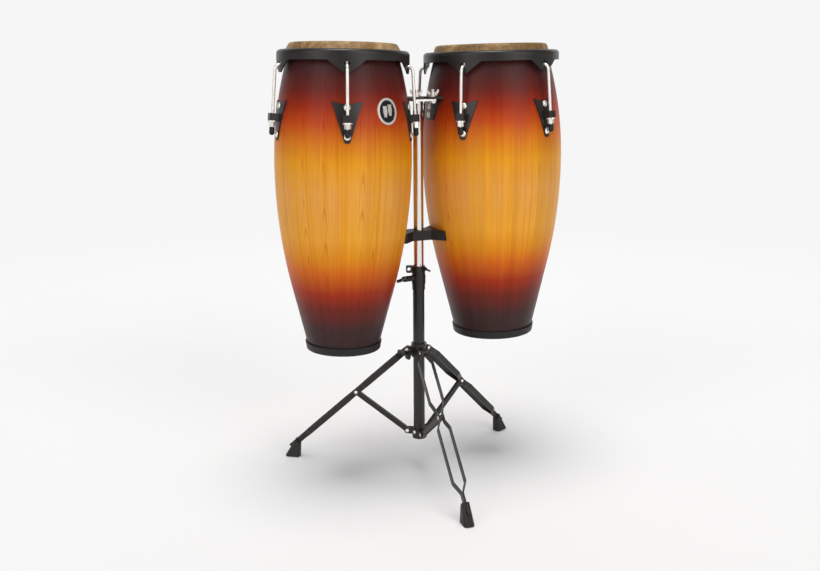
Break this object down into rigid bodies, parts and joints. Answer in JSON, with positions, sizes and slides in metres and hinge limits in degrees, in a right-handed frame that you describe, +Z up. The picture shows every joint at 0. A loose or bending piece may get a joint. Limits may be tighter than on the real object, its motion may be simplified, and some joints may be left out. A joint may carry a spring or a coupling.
{
  "type": "conga drum pair on stand",
  "caption": "Pair of conga drums, one slightly larger, hung by brackets from one height-adjustable double-braced folding tripod stand.",
  "frame": {"origin": "on the floor, at the centre of the outline of the whole object seen from above", "axes": "+Z up, +X from the small drum to the large drum, the player stands at -Y"},
  "size_m": [0.7551, 0.5763, 1.0595],
  "materials": {
    "sunburst_wood": "satin sunburst lacquer over ash staves",
    "rawhide": "natural rawhide",
    "black_steel": "satin black powder coat",
    "chrome": "polished",
    "zinc_steel": "zinc plated",
    "black_rubber": "moulded",
    "black_nylon": "moulded"
  },
  "bodies": {
    "base": {"base_tube": "black_steel", "tube_plug": "black_nylon", "height_clamp": "black_steel", "lower_collar": "black_steel", "lower_collar_rivets": "chrome", "lower_collar_screw": "chrome"},
    "clamp_handle": {"clamp_wing_bolt": "black_steel"},
    "swivel_bush": {"clamp_bush": "black_nylon"},
    "mast": {"upper_tube": "chrome", "cross_plate": "chrome", "cross_plate_studs": "chrome", "bumper": "black_rubber", "bumper_screws": "chrome", "memory_lock": "black_steel"},
    "lock_handle": {"memory_lock_wing_bolt": "black_steel"},
    "nut_small": {"wing_nut_small": "chrome"},
    "nut_large": {"wing_nut_large": "chrome"},
    "small_drum": {"small_shell": "sunburst_wood", "small_bottom_ring": "black_rubber", "small_head": "rawhide", "small_flesh_hoop": "zinc_steel", "small_rim": "black_steel", "small_tension_rods": "chrome", "small_side_plates": "black_steel", "small_tension_washers": "chrome", "small_tuning_nuts": "chrome", "small_rod_caps": "black_rubber", "small_plate_screws": "chrome", "small_shell_nuts": "zinc_steel", "small_mount_bolts": "chrome", "small_mount_bracket": "black_steel", "small_badge": "chrome"},
    "large_drum": {"large_shell": "sunburst_wood", "large_bottom_ring": "black_rubber", "large_head": "rawhide", "large_flesh_hoop": "zinc_steel", "large_rim": "black_steel", "large_tension_rods": "chrome", "large_side_plates": "black_steel", "large_tension_washers": "chrome", "large_tuning_nuts": "chrome", "large_rod_caps": "black_rubber", "large_plate_screws": "chrome", "large_shell_nuts": "zinc_steel", "large_mount_bolts": "chrome", "large_mount_bracket": "black_steel"},
    "collar": {"leg_collar": "black_steel"},
    "collar_handle": {"collar_wing_bolt": "black_steel"},
    "leg_left": {"leg_left_strips": "black_steel", "leg_left_rivets": "chrome", "leg_left_foot": "black_rubber"},
    "brace_left": {"strut_left": "black_steel"},
    "leg_front": {"leg_front_strips": "black_steel", "leg_front_rivets": "chrome", "leg_front_foot": "black_rubber"},
    "brace_front": {"strut_front": "black_steel"},
    "leg_right": {"leg_right_strips": "black_steel", "leg_right_rivets": "chrome", "leg_right_foot": "black_rubber"},
    "brace_right": {"strut_right": "black_steel"}
  },
  "joints": [
    {"name": "mast_swivel", "type": "hinge", "parent": "base", "child": "swivel_bush", "pos_m": [-0.0108, 0.0716, 0.494], "axis": [0, 0, 1], "continuous": true},
    {"name": "mast_height", "type": "slide", "parent": "swivel_bush", "child": "mast", "axis": [0, 0, 1], "range_m": [0, 0.2]},
    {"name": "clamp_wing_bolt_turn", "type": "hinge", "parent": "base", "child": "clamp_handle", "pos_m": [-0.04051, 0.06742, 0.498], "axis": [-0.9903, -0.1392, 0], "continuous": true},
    {"name": "memory_lock_bolt_turn", "type": "hinge", "parent": "mast", "child": "lock_handle", "pos_m": [-0.00144, 0.04842, 0.5225], "axis": [0.3746, -0.9272, 0], "continuous": true},
    {"name": "wing_nut_small_turn", "type": "hinge", "parent": "mast", "child": "nut_small", "pos_m": [-0.0318, 0.0326, 0.94], "axis": [0, 0, 1], "continuous": true},
    {"name": "wing_nut_large_turn", "type": "hinge", "parent": "mast", "child": "nut_large", "pos_m": [0.0102, 0.0326, 0.94], "axis": [0, 0, 1], "continuous": true},
    {"name": "small_drum_slide", "type": "slide", "parent": "mast", "child": "small_drum", "axis": [-1, 0, 0], "range_m": [0, 0.05]},
    {"name": "large_drum_slide", "type": "slide", "parent": "mast", "child": "large_drum", "axis": [1, 0, 0], "range_m": [0, 0.05]},
    {"name": "leg_collar_slide", "type": "slide", "parent": "base", "child": "collar", "axis": [0, 0, 1], "range_m": [0, 0.12835]},
    {"name": "collar_wing_bolt_turn", "type": "hinge", "parent": "collar", "child": "collar_handle", "pos_m": [-0.03808, 0.05911, 0.312], "axis": [-0.9092, -0.4163, 0], "continuous": true},
    {"name": "leg_left_fold", "type": "hinge", "parent": "collar", "child": "leg_left", "pos_m": [-0.03525, 0.08898, 0.313], "axis": [-0.5793, -0.8151, 0], "range_deg": [0, 41.4]},
    {"name": "strut_left_fold", "type": "hinge", "parent": "base", "child": "brace_left", "pos_m": [-0.03525, 0.08898, 0.097], "axis": [0.5793, 0.8151, 0], "range_deg": [0, 48.24]},
    {"name": "leg_front_fold", "type": "hinge", "parent": "collar", "child": "leg_front", "pos_m": [-0.01362, 0.04173, 0.313], "axis": [0.9956, -0.0941, 0], "range_deg": [0, 41.4]},
    {"name": "strut_front_fold", "type": "hinge", "parent": "base", "child": "brace_front", "pos_m": [-0.01362, 0.04173, 0.097], "axis": [-0.9956, 0.0941, 0], "range_deg": [0, 48.24]},
    {"name": "leg_right_fold", "type": "hinge", "parent": "collar", "child": "leg_right", "pos_m": [0.01648, 0.08409, 0.313], "axis": [-0.4163, 0.9092, 0], "range_deg": [0, 41.4]},
    {"name": "strut_right_fold", "type": "hinge", "parent": "base", "child": "brace_right", "pos_m": [0.01648, 0.08409, 0.097], "axis": [0.4163, -0.9092, 0], "range_deg": [0, 48.24]}
  ],
  "couplings": [
    {"joint": "leg_left_fold", "follows": "leg_collar_slide", "rad_per_m": 5.616},
    {"joint": "strut_left_fold", "follows": "leg_collar_slide", "rad_per_m": 6.5456},
    {"joint": "leg_front_fold", "follows": "leg_collar_slide", "rad_per_m": 5.616},
    {"joint": "strut_front_fold", "follows": "leg_collar_slide", "rad_per_m": 6.5456},
    {"joint": "leg_right_fold", "follows": "leg_collar_slide", "rad_per_m": 5.616},
    {"joint": "strut_right_fold", "follows": "leg_collar_slide", "rad_per_m": 6.5456}
  ]
}
